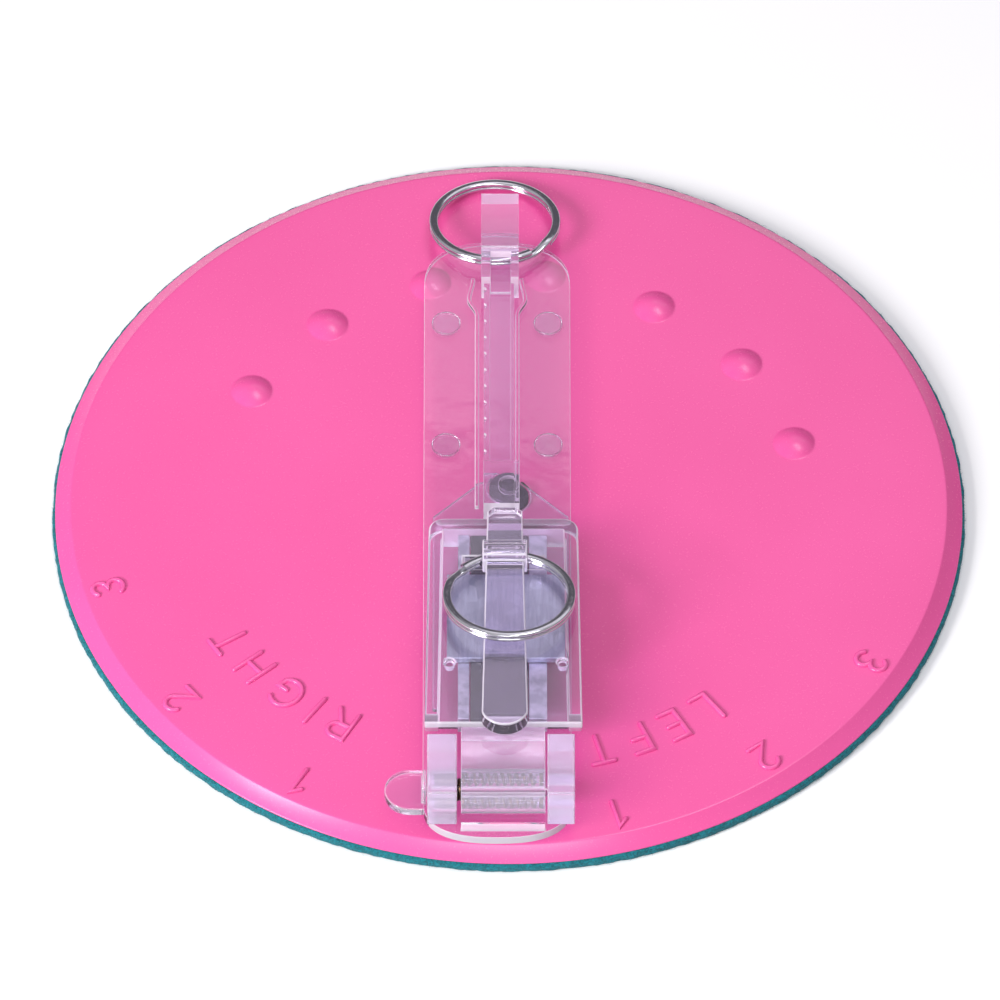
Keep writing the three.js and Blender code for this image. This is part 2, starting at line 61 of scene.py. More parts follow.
def linear(hexCode, alpha=1.0):
    # sRGB hex to the linear values that sockets take
    parts = [int(hexCode[i:i + 2], 16) / 255 for i in (1, 3, 5)]
    straight = [c / 12.92 if c <= 0.04045 else ((c + 0.055) / 1.055) ** 2.4 for c in parts]
    return (*straight, alpha)


def addNode(tree, kind, values=None, links=None, **settings):
    made = tree.nodes.new(kind)
    for name, value in settings.items():
        setattr(made, name, value)
    for name, value in (values or {}).items():
        made.inputs[name].default_value = value
    for name, socket in (links or {}).items():
        tree.links.new(socket, made.inputs[name])
    return made


def startMaterial(name, values):
    material = bpy.data.materials.new(name)
    material.use_nodes = True
    tree = material.node_tree
    tree.nodes.clear()
    shader = addNode(tree, "ShaderNodeBsdfPrincipled", values)
    addNode(tree, "ShaderNodeOutputMaterial", links={"Surface": shader.outputs[0]})
    place = addNode(tree, "ShaderNodeTexCoord").outputs["Object"]
    return material, tree, shader, place


def perMm(size):
    # texture scale for a pattern that repeats every so many millimetres
    return 1000 / size


def noise(tree, size, detail, place, **more):
    # cloudy pattern that changes every so many millimetres
    return addNode(tree, "ShaderNodeTexNoise", {"Scale": perMm(size), "Detail": detail, **more},
                   {"Vector": place}).outputs[0]


def mixColours(tree, factor, first, second):
    mix = addNode(tree, "ShaderNodeMix", data_type="RGBA")
    for socket, value in ((mix.inputs[6], first), (mix.inputs[7], second)):
        if isinstance(value, tuple):
            socket.default_value = value
        else:
            tree.links.new(value, socket)
    tree.links.new(factor, mix.inputs[0])
    return mix.outputs[2]


def ramp(tree, socket, low, high, outLow=0.0, outHigh=1.0):
    made = addNode(tree, "ShaderNodeMapRange", {1: low, 2: high, 3: outLow, 4: outHigh}, {0: socket})
    return made.outputs[0]


def bump(tree, shader, height, strength, depth):
    made = addNode(tree, "ShaderNodeBump", {"Strength": strength, "Distance": depth}, {"Height": height})
    tree.links.new(made.outputs[0], shader.inputs["Normal"])


def meshObject(name, verts, faces, smoothAngle=35):
    mesh = bpy.data.meshes.new(name)
    mesh.from_pydata([tuple(v) for v in verts], [], faces)
    mesh.update()
    piece = bpy.data.objects.new(name, mesh)
    bpy.context.scene.collection.objects.link(piece)
    smooth(piece, smoothAngle)
    return piece


def smooth(piece, angle):
    mesh = piece.data
    for polygon in mesh.polygons:
        polygon.use_smooth = True
    if angle < 180:
        mesh.set_sharp_from_angle(angle=math.radians(angle))


def joinAs(name, pieces, smoothAngle=35):
    shape = bmesh.new()
    for piece in pieces:
        shape.from_mesh(piece.data)
        bpy.data.objects.remove(piece)
    mesh = bpy.data.meshes.new(name)
    shape.to_mesh(mesh)
    shape.free()
    whole = bpy.data.objects.new(name, mesh)
    bpy.context.scene.collection.objects.link(whole)
    smooth(whole, smoothAngle)
    return whole


def bandFaces(pairs, sides):
    # faces between each pair of rings; a corner that comes twice is dropped
    faces = []
    for low, high in pairs:
        for i in range(sides):
            j = (i + 1) % sides
            corners = [low[i], low[j], high[j], high[i]]
            kept = [c for k, c in enumerate(corners) if c not in corners[:k]]
            if len(kept) > 2:
                faces.append(kept)
    return faces


def turnedMesh(name, profile, sides, centre=(0, 0, 0), smoothAngle=35):
    # a closed (radius, z) profile swept round Z; a point on the axis becomes one vertex
    verts, rings = [], []
    for radius, z in profile:
        if radius < 1e-7:
            rings.append([len(verts)] * sides)
            verts.append(Vector((0, 0, z)) + Vector(centre))
            continue
        rings.append([len(verts) + i for i in range(sides)])
        for i in range(sides):
            angle = 2 * math.pi * i / sides
            verts.append(Vector((radius * math.cos(angle), radius * math.sin(angle), z)) + Vector(centre))
    closed = profile[0][0] > 1e-7
    pairs = list(zip(rings, rings[1:])) + ([(rings[-1], rings[0])] if closed else [])
    return meshObject(name, verts, bandFaces(pairs, sides), smoothAngle)


def sweptMesh(name, path, section, smoothAngle=60):
    # section corners are (across, up) offsets; each path entry is (point, across direction, up direction)
    verts, faces = [], []
    count = len(section)
    for point, across, up in path:
        for a, u in section:
            verts.append(point + across * a + up * u)
    for i in range(len(path) - 1):
        for k in range(count):
            n = (k + 1) % count
            faces.append([i * count + k, i * count + n, (i + 1) * count + n, (i + 1) * count + k])
    faces.append(list(range(count))[::-1])
    faces.append([(len(path) - 1) * count + k for k in range(count)])
    piece = meshObject(name, verts, faces, smoothAngle)
    fixNormals(piece)
    smooth(piece, smoothAngle)
    return piece


def fixNormals(piece):
    shape = bmesh.new()
    shape.from_mesh(piece.data)
    bmesh.ops.recalc_face_normals(shape, faces=shape.faces)
    shape.to_mesh(piece.data)
    shape.free()


bevelSizes = dict(weld=0.002, flatAngle=1.5, sharpAngle=28, flatWeight=100)


def softened(node, name, edge, materials, takesPaintedHighlight=None, segments=3):
    # the CAD node's own shape with its moulding radius on every edge; a second material goes on
    # the rounded edges and on the narrow faces picked by their normal: a painted highlight, milky acrylic standing
    # in for the light the edges catch
    source = frame["nodes"][node]
    shape = bmesh.new()
    shape.from_mesh(source.data)
    bmesh.ops.remove_doubles(shape, verts=shape.verts, dist=bevelSizes["weld"] * mm)
    bmesh.ops.dissolve_limit(shape, angle_limit=math.radians(bevelSizes["flatAngle"]), verts=shape.verts,
                             edges=shape.edges, use_dissolve_boundaries=False)
    # narrow faces picked by their normal get the painted highlight material
    if takesPaintedHighlight:
        for face in shape.faces:
            face.material_index = 1 if takesPaintedHighlight(face.normal) else 0
    mesh = bpy.data.meshes.new(name)
    for material in materials:
        mesh.materials.append(material)
    shape.to_mesh(mesh)
    shape.free()
    piece = bpy.data.objects.new(name, mesh)
    bpy.context.scene.collection.objects.link(piece)
    rounding = piece.modifiers.new("moulding radius", "BEVEL")
    # the rounded edges take the last material, the painted highlight
    rounding.material = len(materials) - 1
    rounding.width = edge * mm
    rounding.segments = segments
    rounding.limit_method = "ANGLE"
    rounding.angle_limit = math.radians(bevelSizes["sharpAngle"])
    rounding.use_clamp_overlap = False
    flats = piece.modifiers.new("flat faces stay flat", "WEIGHTED_NORMAL")
    flats.mode = "FACE_AREA"
    flats.weight = bevelSizes["flatWeight"]
    smooth(piece, 180)
    return piece


def settle(piece, node, material=None):
    if material:
        piece.data.materials.clear()
        piece.data.materials.append(material)
    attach(piece, bodyOf[node])
    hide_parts(node)


pinkPlastic = dict(light="#ee5ca2", dark="#e35296", mottle=34, grain=0.35, grainDepth=0.02, rough=0.25,
                   bending=1.53)


def mouldedPinkAbs():
    # injection-moulded ABS: even colour with a faint flow mottle and a soft satin gloss
    material, tree, shader, place = startMaterial(
        "mouldedPinkAbs", {"IOR": pinkPlastic["bending"]})
    flow = noise(tree, pinkPlastic["mottle"], 3, place)
    colour = mixColours(tree, flow, linear(pinkPlastic["dark"]), linear(pinkPlastic["light"]))
    tree.links.new(colour, shader.inputs["Base Color"])
    grain = noise(tree, pinkPlastic["grain"], 2, place)
    rough = pinkPlastic["rough"]
    tree.links.new(ramp(tree, grain, 0.3, 0.7, rough - 0.02, rough + 0.03), shader.inputs["Roughness"])
    bump(tree, shader, grain, 0.015, pinkPlastic["grainDepth"] * mm)
    return material


feltFinish = dict(light="#0a7f8c", dark="#034c55", fibre=0.5, fibreDepth=0.2, rough=0.95, sheen=0.04,
                  sheenRough=0.6)


def pressedTealFelt():
    # pressed wool felt: matt, with short fibres standing off its cut edge
    material, tree, shader, place = startMaterial(
        "pressedTealFelt", {"Roughness": feltFinish["rough"], "Sheen Weight": feltFinish["sheen"],
                            "Sheen Roughness": feltFinish["sheenRough"]})
    fibres = noise(tree, feltFinish["fibre"], 6, place, Distortion=1.5)
    spread = ramp(tree, fibres, 0.35, 0.65)
    tree.links.new(mixColours(tree, spread, linear(feltFinish["dark"]), linear(feltFinish["light"])),
                   shader.inputs["Base Color"])
    bump(tree, shader, fibres, 0.8, feltFinish["fibreDepth"] * mm)
    return material


acrylicFinish = dict(bending=1.49, ripple=5.0, rippleDepth=0.1, shadowTint="#f3edf6")


def mouldedAcrylic(name, tint, haze, rough):
    # moulded clear acrylic: a lavender cast, a share of milky haze, and slow ripples from the mould
    material, tree, shader, place = startMaterial(name, {
        "Base Color": linear(tint), "IOR": acrylicFinish["bending"], "Transmission Weight": 1 - haze,
        "Roughness": rough})
    ripple = noise(tree, acrylicFinish["ripple"], 2, place)
    bump(tree, shader, ripple, 0.25, acrylicFinish["rippleDepth"] * mm)
    clear = addNode(tree, "ShaderNodeBsdfTransparent", {"Color": linear(acrylicFinish["shadowTint"])})
    path = addNode(tree, "ShaderNodeLightPath")
    # lamp light goes straight through on its way to what lies beneath
    soft = addNode(tree, "ShaderNodeMath", operation="MAXIMUM", links={
        0: path.outputs["Is Shadow Ray"], 1: path.outputs["Is Diffuse Ray"]})
    lit = addNode(tree, "ShaderNodeMixShader", links={
        0: soft.outputs[0], 1: shader.outputs[0], 2: clear.outputs[0]})
    tree.links.new(lit.outputs[0], tree.nodes["Material Output"].inputs["Surface"])
    return material


nickelFinish = dict(tone="#d9d9de", line=0.6, lineDepth=0.03, rough=0.13, roughLow=0.08, roughHigh=0.2)


def platedNickel():
    # nickel plate on drawn spring wire: a bright mirror with faint draw lines
    material, tree, shader, place = startMaterial("platedNickel", {
        "Base Color": linear(nickelFinish["tone"]), "Metallic": 1.0, "Roughness": nickelFinish["rough"]})
    lines = noise(tree, nickelFinish["line"], 4, place)
    tree.links.new(ramp(tree, lines, 0.3, 0.7, nickelFinish["roughLow"], nickelFinish["roughHigh"]),
                   shader.inputs["Roughness"])
    bump(tree, shader, lines, 0.06, nickelFinish["lineDepth"] * mm)
    return material


zincFinish = dict(light="#c3ccd8", mid="#98a2ae", dark="#828c9a", crystal=2.2, lineSizes=(0.4, 5, 2),
                  lineDepth=0.05, metallic=0.85, rough=0.42)


def galvanisedSheet():
    # hot-dip galvanised steel: crystals a couple of millimetres across under fine rolling lines
    material, tree, shader, place = startMaterial("galvanisedSheet", {
        "Metallic": zincFinish["metallic"], "Roughness": zincFinish["rough"]})
    crystals = addNode(tree, "ShaderNodeTexVoronoi", {
        "Scale": perMm(zincFinish["crystal"]), "Randomness": 1.0}, {"Vector": place})
    flat = addNode(tree, "ShaderNodeMapping", {
        "Scale": tuple(perMm(size) for size in zincFinish["lineSizes"])}, {"Vector": place})
    lines = addNode(tree, "ShaderNodeTexNoise", {"Scale": 1.0, "Detail": 4}, {
        "Vector": flat.outputs[0]}).outputs[0]
    tone = mixColours(tree, crystals.outputs["Color"], linear(zincFinish["mid"]), linear(zincFinish["light"]))
    tone = mixColours(tree, ramp(tree, lines, 0.3, 0.75, 0.0, 0.6), tone, linear(zincFinish["dark"]))
    tree.links.new(tone, shader.inputs["Base Color"])
    tree.links.new(ramp(tree, lines, 0.3, 0.7, 0.3, 0.55), shader.inputs["Roughness"])
    bump(tree, shader, lines, 0.3, zincFinish["lineDepth"] * mm)
    return material


ferriteFinish = dict(light="#3a3347", dark="#17121f", dust=1.2, dustDepth=0.08, rough=0.6, bending=1.8)


def groundFerrite():
    # ground ceramic ferrite: dark grey with a violet cast, matt, with pale grinding dust
    material, tree, shader, place = startMaterial("groundFerrite", {
        "Roughness": ferriteFinish["rough"], "IOR": ferriteFinish["bending"]})
    dust = noise(tree, ferriteFinish["dust"], 7, place, Roughness=0.7)
    spread = ramp(tree, dust, 0.45, 0.75)
    tree.links.new(mixColours(tree, spread, linear(ferriteFinish["dark"]), linear(ferriteFinish["light"])),
                   shader.inputs["Base Color"])
    bump(tree, shader, dust, 0.4, ferriteFinish["dustDepth"] * mm)
    return material


metalGrain = dict(below=0.08, above=0.1, bumps=0.2, depth=0.04)


def plainMetal(name, light, dark, rough, grain, metallic=1.0):
    # rolled or drawn steel: two close tones in patches, rougher where it is paler
    material, tree, shader, place = startMaterial(name, {"Metallic": metallic, "Roughness": rough})
    tone = noise(tree, grain, 5, place)
    spread = ramp(tree, tone, 0.35, 0.65)
    tree.links.new(mixColours(tree, spread, linear(dark), linear(light)), shader.inputs["Base Color"])
    roughness = ramp(tree, tone, 0.3, 0.7, rough - metalGrain["below"], rough + metalGrain["above"])
    tree.links.new(roughness, shader.inputs["Roughness"])
    bump(tree, shader, tone, metalGrain["bumps"], metalGrain["depth"] * mm)
    return material


pinkAbs = mouldedPinkAbs()
feltCloth = pressedTealFelt()
plateAcrylic = mouldedAcrylic("plateAcrylic", "#f8f2fa", 0.02, 0.03)  # thin and water-clear
hoodAcrylic = mouldedAcrylic("hoodAcrylic", "#f1eaf8", 0.025, 0.04)  # faint haze from handling
sliderAcrylic = mouldedAcrylic("sliderAcrylic", "#f0e4f5", 0.05, 0.06)  # rubbed milky where it slides
barrelAcrylic = mouldedAcrylic("barrelAcrylic", "#f0e8f9", 0.17, 0.06)  # thick, so its haze adds up
blockAcrylic = mouldedAcrylic("blockAcrylic", "#e9def4", 0.3, 0.1)  # sawn faces, milky inside
paintedHighlightAcrylic = mouldedAcrylic("paintedHighlightAcrylic", "#f8f2fd", 0.5, 0.2)  # painted highlight: milky white acrylic on the edges, standing in for the light that the edges catch
paintedFaintHighlightAcrylic = mouldedAcrylic("paintedFaintHighlightAcrylic", "#f8f0fa", 0.24, 0.12)  # a fainter painted highlight, for the edges of the thin parts
nickel = platedNickel()
zinc = galvanisedSheet()
ferrite = groundFerrite()
poleSteel = plainMetal("coldRolledSteel", "#d3d4df", "#aeb0bd", 0.4, 1.5)  # grey mill finish
springSteel = plainMetal("drawnSpringSteel", "#6d5840", "#33281c", 0.3, 0.8)  # straw-brown tempering
blackSteel = plainMetal("blackenedSteel", "#4a3f52", "#2d2633", 0.42, 0.6, 0.7)  # oil-black
print("materials made")


feltSizes = dict(inset=0.15, hole=3.4, edgeRound=0.35, wobble=0.12, swing=0.1, sides=720, fibres=1400,
                 fibreLength=(0.25, 0.8), fibreRadius=0.022, fibreDepth=0.1, fibreHeights=(0.15, 0.95),
                 fibreLean=1.4, fibreRise=(-0.5, 0.4), floorGap=0.08)


def buildFelt():
    sizes = feltSizes
    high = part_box("felt_pad")[1]
    radius = high.x - sizes["inset"] * mm
    top = high.z
    hole = sizes["hole"] * mm
    r = sizes["edgeRound"] * mm
    profile = [(hole, 0), (radius - r, 0), (radius - 0.3 * r, 0.3 * r), (radius, r), (radius, top - r),
               (radius - 0.3 * r, top - 0.3 * r), (radius - r, top), (hole, top)]
    pad = turnedMesh("feltDisc", profile, sizes["sides"], smoothAngle=180)
    draw = random.Random(4)
    shift = [draw.uniform(-1, 1) for _ in range(sizes["sides"])]
    for k in range(1, len(profile) - 2):  # every ring but the two inner ones
        for i in range(sizes["sides"]):
            vertex = pad.data.vertices[k * sizes["sides"] + i]
            swing = (shift[i] + shift[i - 1]) * 0.5 * sizes["wobble"] * mm
            outwards = Vector((vertex.co.x, vertex.co.y, 0)).normalized()
            vertex.co += outwards * min(swing, sizes["swing"] * mm)
    thick = sizes["fibreRadius"] * mm
    verts, faces = [], []
    for _ in range(sizes["fibres"]):
        angle = draw.uniform(0, 2 * math.pi)
        outwards = Vector((math.cos(angle), math.sin(angle), 0))
        start = outwards * (radius - sizes["fibreDepth"] * mm)
        start += Vector((0, 0, draw.uniform(*sizes["fibreHeights"]) * top))
        side = Vector((-outwards.y, outwards.x, 0))
        length = draw.uniform(*sizes["fibreLength"]) * mm
        lean = side * draw.uniform(-sizes["fibreLean"], sizes["fibreLean"])
        lean += Vector((0, 0, draw.uniform(*sizes["fibreRise"])))
        middle = start + (outwards * 0.35 + lean * 0.6) * length * 0.6
        tip = start + (outwards * 0.45 + lean) * length
        tip.z = max(tip.z, sizes["floorGap"] * mm)
        middle.z = max(middle.z, sizes["floorGap"] * mm)
        base = len(verts)
        for point, scale in ((start, 1.0), (middle, 0.9), (tip, 0.35)):
            verts += [point + side * thick * scale, point + Vector((0, 0, 1)) * thick * scale,
                      point - (side + Vector((0, 0, 1))) * thick * 0.7 * scale]
        for k in range(2):
            for j in range(3):
                n = (j + 1) % 3
                ring = base + 3 * k
                faces.append([ring + j, ring + n, ring + 3 + n, ring + 3 + j])
        faces += [[base, base + 2, base + 1], [base + 6, base + 7, base + 8]]
    fibres = meshObject("feltFibres", verts, faces, 180)
    piece = joinAs("feltPad", [pad, fibres], 60)
    settle(piece, "felt_pad", feltCloth)


discSizes = dict(sides=384, bore=1.5, gap=0.05, bevel=2.45, edge=0.2, soft=0.3, footIn=0.08, footUp=0.06,
                 flatIn=3.0, scaleTurn=-7.15, step=22.5)
domeSizes = dict(pitch=44.6, radius=3.05, height=0.98, skirt=0.25, skirtLifts=(0.003, 0.02), sunk=0.05,
                 steps=14, sides=56)
markSizes = dict(numberHeight=4.8, numberFoot=59.8, letterHeight=5.2, letterFoot=47.0, letterSpace=3.25,
                 rightTurn=36.7, leftTurn=33.1, stroke=0.42, crown=0.02, pointGap=0.08, corners=12)


def roundAngles(count):
    return [2 * math.pi * k / count for k in range(count)]


def arcPoints(cx, cy, rx, ry, start, end, steps=9):
    angles = [math.radians(start + (end - start) * i / steps) for i in range(steps + 1)]
    return [(cx + rx * math.cos(a), cy + ry * math.sin(a)) for a in angles]


# width and strokes of each sign, on a height of one
signs = {
    "R": (0.6, [[(0, 0), (0, 1), *arcPoints(0.33, 0.75, 0.25, 0.25, 90, -90), (0, 0.5)],
                [(0.3, 0.5), (0.6, 0)]]),
    "I": (0.0, [[(0, 0), (0, 1)]]),
    "G": (0.8, [[*arcPoints(0.42, 0.5, 0.42, 0.5, 48, 318, 14), (0.76, 0.42), (0.48, 0.42)]]),
    "H": (0.62, [[(0, 0), (0, 1)], [(0.62, 0), (0.62, 1)], [(0, 0.5), (0.62, 0.5)]]),
    "T": (0.62, [[(0.31, 0), (0.31, 1)], [(0, 1), (0.62, 1)]]),
    "L": (0.5, [[(0, 1), (0, 0), (0.5, 0)]]),
    "E": (0.5, [[(0.5, 1), (0, 1), (0, 0), (0.5, 0)], [(0, 0.5), (0.42, 0.5)]]),
    "F": (0.5, [[(0.5, 1), (0, 1), (0, 0)], [(0, 0.5), (0.42, 0.5)]]),
    "1": (0.24, [[(0, 0.76), (0.24, 1), (0.24, 0)]]),
    "2": (0.56, [[*arcPoints(0.28, 0.72, 0.28, 0.28, 165, -30), (0, 0), (0.56, 0)]]),
    "3": (0.54, [[*arcPoints(0.27, 0.76, 0.24, 0.24, 150, -90),
                  *arcPoints(0.27, 0.27, 0.27, 0.25, 90, -150)]]),
}


def strokeRidge(points, top):
    # a raised stroke with a rounded crown: a swept tube, its lower half sunk in the disc
    radius = markSizes["stroke"] * mm
    crown = radius + markSizes["crown"] * mm
    section = [(radius * math.cos(a), crown * math.sin(a)) for a in roundAngles(markSizes["corners"])]
    kept = [points[0]]
    for point in points[1:]:
        if (point - kept[-1]).length > markSizes["pointGap"] * mm:
            kept.append(point)
    first = (kept[1] - kept[0]).normalized()
    last = (kept[-1] - kept[-2]).normalized()
    caps = ((0.98, 0.25), (0.8, 0.62), (0.5, 0.87))  # steps past the end and width there, on a radius of one
    stations = [(kept[0] - first * radius * out, across) for out, across in caps]
    stations += [(point, 1.0) for point in kept]
    stations += [(kept[-1] + last * radius * out, across) for out, across in reversed(caps)]
    path = []
    up = Vector((0, 0, 1))
    for i, (point, scale) in enumerate(stations):
        before = stations[max(i - 1, 0)][0]
        after = stations[min(i + 1, len(stations) - 1)][0]
        back = (point - before).normalized() if i else (after - point).normalized()
        ahead = (after - point).normalized() if i < len(stations) - 1 else back
        way = (back + ahead).normalized()
        across = way.cross(up)
        widen = min(1 / max(way.dot(ahead), 0.55), 1.6)
        path.append((Vector((point.x, point.y, top)), across * scale * widen, up * scale))
    return sweptMesh("stroke", path, section, 180)


def raisedSign(name, height, footRadius, angle, top):
    width, strokes = signs[name]
    outwards = Vector((math.cos(angle), math.sin(angle), 0))
    along = Vector((outwards.y, -outwards.x, 0))
    made = []
    for stroke in strokes:
        points = [(outwards * (footRadius + y * height) + along * (x - width / 2) * height) * mm
                  for x, y in stroke]
        made.append(strokeRidge(points, top))
    return made


def raisedWord(word, angle, top):
    height, space = markSizes["letterHeight"], markSizes["letterSpace"]
    widths = [signs[letter][0] * height for letter in word]
    middle = markSizes["letterFoot"] + height / 2
    along = -(sum(widths) + space * (len(word) - 1)) / 2
    made = []
    for letter, width in zip(word, widths):
        turn = (along + width / 2) / middle
        made += raisedSign(letter, height, markSizes["letterFoot"], angle - turn, top)
        along += width + space
    return made


def buildDisc():
    low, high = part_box("index_disc")
    bottom = low.z
    d = discSizes
    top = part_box("pivot_washer")[0].z - d["gap"] * mm
    radius = high.x
    bore = d["bore"] * mm
    soft = d["soft"] * mm
    inner = radius - d["bevel"] * mm
    slope = Vector((d["bevel"] * mm, top - bottom - d["edge"] * mm)).normalized()
    profile = [(bore, bottom), (radius - d["footIn"] * mm, bottom), (radius, bottom + d["footUp"] * mm),
               (radius, bottom + d["edge"] * mm * 0.7)]
    edge = Vector((radius, bottom + d["edge"] * mm))
    for share in (0.3, 0.12):
        profile.append((edge.x - slope.x * soft * (0.5 - share), edge.y + slope.y * soft * (0.5 - share)))
    for share in (1.0, 0.66, 0.33):
        drop = (slope.y / slope.x) * soft * share * share
        profile.append((inner + soft * share, top - drop * 0.9))
    profile += [(inner - soft * 0.4, top), (inner - d["flatIn"] * mm, top), (bore, top)]
    made = [turnedMesh("discBody", profile, d["sides"], smoothAngle=50)]
    farZero = math.radians(90 + d["scaleTurn"])
    nearZero = farZero + math.pi
    dome = domeSizes
    pitch, skirt, capRadius, rise = (dome[name] * mm for name in ("pitch", "skirt", "radius", "height"))
    capCurve = (capRadius ** 2 + rise ** 2) / (2 * rise)  # radius of the ball the dome is cut from
    crown = [capRadius * k / dome["steps"] for k in range(dome["steps"], -1, -1)]
    sunk = dome["sunk"] * mm
    firstLift, lastLift = (lift * mm for lift in dome["skirtLifts"])
    for n in range(-3, 4):
        angle = farZero + n * math.radians(d["step"])
        centre = (pitch * math.cos(angle), pitch * math.sin(angle), 0)
        cap = [(0, top - sunk), (capRadius + skirt, top - sunk), (capRadius + skirt, top + firstLift),
               (capRadius + 0.4 * skirt, top + lastLift)]
        cap += [(r, top + sunk + rise - capCurve + math.sqrt(capCurve ** 2 - r ** 2)) for r in crown]
        made.append(turnedMesh("dome", cap, dome["sides"], centre, 180))
        if n:
            made += raisedSign(str(abs(n)), markSizes["numberHeight"], markSizes["numberFoot"],
                               nearZero + n * math.radians(d["step"]), top)
    made += raisedWord("RIGHT", nearZero - math.radians(markSizes["rightTurn"]), top)
    made += raisedWord("LEFT", nearZero + math.radians(markSizes["leftTurn"]), top)
    piece = joinAs("indexDisc", made, 50)
    settle(piece, "index_disc", pinkAbs)


pivotSizes = dict(shank=1.4, socket=1.3, socketDepth=0.6, socketLead=0.05, socketMouth=1.45, headEdge=0.25,
                  headRise=0.2, shoulderGap=0.1, shoulderEdge=0.08, point=0.3, sides=48)
washerSizes = dict(bore=1.5, chamfer=0.12, sides=64)


def buildPivot():
    low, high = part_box("pivot_screw")
    w = {name: size * mm for name, size in pivotSizes.items()}
    head, bottom, top = high.x, low.z, high.z
    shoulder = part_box("felt_pad")[1].z - w["shoulderGap"]
    shank = w["shank"]
    sides = pivotSizes["sides"]
    verts, rings = [], []

    def hexRadius(angle, flat):
        turn = (angle + math.pi / 6) % (math.pi / 3) - math.pi / 6
        return flat / math.cos(turn)

    rows = [
        (0, bottom + w["socketDepth"], "point"),
        (w["socket"], bottom + w["socketDepth"], "hex"),
        (w["socket"], bottom + w["socketLead"], "hex"),
        (w["socketMouth"], bottom, "hex"),
        (head - w["headEdge"], bottom, "round"),
        (head, bottom + w["headRise"], "round"),
        (head, shoulder - w["shoulderEdge"], "round"),
        (head - w["shoulderEdge"], shoulder, "round"),
        (shank, shoulder, "round"),
        (shank, top - w["point"], "round"),
        (shank - w["point"], top, "round"),
        (0, top, "point"),
    ]
    for size, z, kind in rows:
        if kind == "point":
            rings.append([len(verts)] * sides)
            verts.append((0, 0, z))
            continue
        rings.append(list(range(len(verts), len(verts) + sides)))
        for i in range(sides):
            angle = 2 * math.pi * i / sides
            r = hexRadius(angle, size) if kind == "hex" else size
            verts.append((r * math.cos(angle), r * math.sin(angle), z))
    screw = meshObject("pivotScrew", verts, bandFaces(zip(rings, rings[1:]), sides), 35)
    fixNormals(screw)
    smooth(screw, 35)
    settle(screw, "pivot_screw", blackSteel)
    low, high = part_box("pivot_washer")
    r, bore, c = high.x, washerSizes["bore"] * mm, washerSizes["chamfer"] * mm
    profile = [(bore, low.z), (r - c, low.z), (r, low.z + c),
               (r, high.z - c), (r - c, high.z), (bore, high.z)]
    washer = turnedMesh("pivotWasher", profile, washerSizes["sides"])
    settle(washer, "pivot_washer", blackSteel)


buildFelt()
buildDisc()
buildPivot()
print("base built")


# face pickers for the clear pieces: the faces they pick are given the painted highlight material
def upright(normal):
    return abs(normal.z) < 0.3


def nearFacing(normal):
    return normal.y < -0.6 and normal.z < 0.3


clearPieces = {
    # node: (name, edge radius in mm, material, edge material that is a painted highlight, narrow faces that take
    # the painted highlight too)
    "swivel_plate": ("swivelPlate", 0.08, plateAcrylic, paintedHighlightAcrylic, nearFacing),
    "pivot_spacer": ("pivotSpacer", 0.25, plateAcrylic, paintedFaintHighlightAcrylic, None),
    "plate_foot_inner_left": ("plateFootInnerLeft", 0.12, plateAcrylic, plateAcrylic, None),
    "plate_foot_inner_right": ("plateFootInnerRight", 0.12, plateAcrylic, plateAcrylic, None),
    "plate_foot_outer_left": ("plateFootOuterLeft", 0.12, plateAcrylic, plateAcrylic, None),
    "plate_foot_outer_right": ("plateFootOuterRight", 0.12, plateAcrylic, plateAcrylic, None),
    "hinge_block_left": ("hingeBlockLeft", 0.25, blockAcrylic, paintedFaintHighlightAcrylic, None),
    "hinge_block_right": ("hingeBlockRight", 0.25, blockAcrylic, paintedFaintHighlightAcrylic, None),
    "hinge_pin": ("hingePin", 0.2, hoodAcrylic, paintedFaintHighlightAcrylic, None),
    "hood_shell": ("hoodShell", 0.26, hoodAcrylic, paintedHighlightAcrylic, nearFacing),
    "hood_rib": ("hoodRib", 0.24, hoodAcrylic, paintedHighlightAcrylic, None),
    "hinge_barrel": ("hingeBarrel", 0.06, barrelAcrylic, paintedHighlightAcrylic, None),
    "pull_slider": ("pullSlider", 0.02, sliderAcrylic, paintedHighlightAcrylic, upright),
}
for node, (name, edge, material, highlightMaterial, takesPaintedHighlight) in clearPieces.items():
    settle(softened(node, name, edge, [material, highlightMaterial], takesPaintedHighlight), node)
print("clear pieces built")

metalPieces = {
    "magnet_bar": ("magnetBar", 0.25, ferrite, "ferrite"),
    "pole_strip_left": ("poleStripLeft", 0.12, poleSteel, "pole_steel"),
    "pole_strip_right": ("poleStripRight", 0.12, poleSteel, "pole_steel"),
    "keeper_plate": ("keeperPlate", 0.15, zinc, "zinc_steel"),
    "pin_collar": ("pinCollar", 0.08, springSteel, "spring_steel"),
}
for node, (name, edge, material, slot) in metalPieces.items():
    settle(softened(node, name, edge, [material], segments=2), node)

springSizes = dict(wire=0.24, radius=1.5, closeTurns=9, openTurns=10, closePitch=2.15, stepsPerTurn=26,
                   corners=10, pressed=0.67)


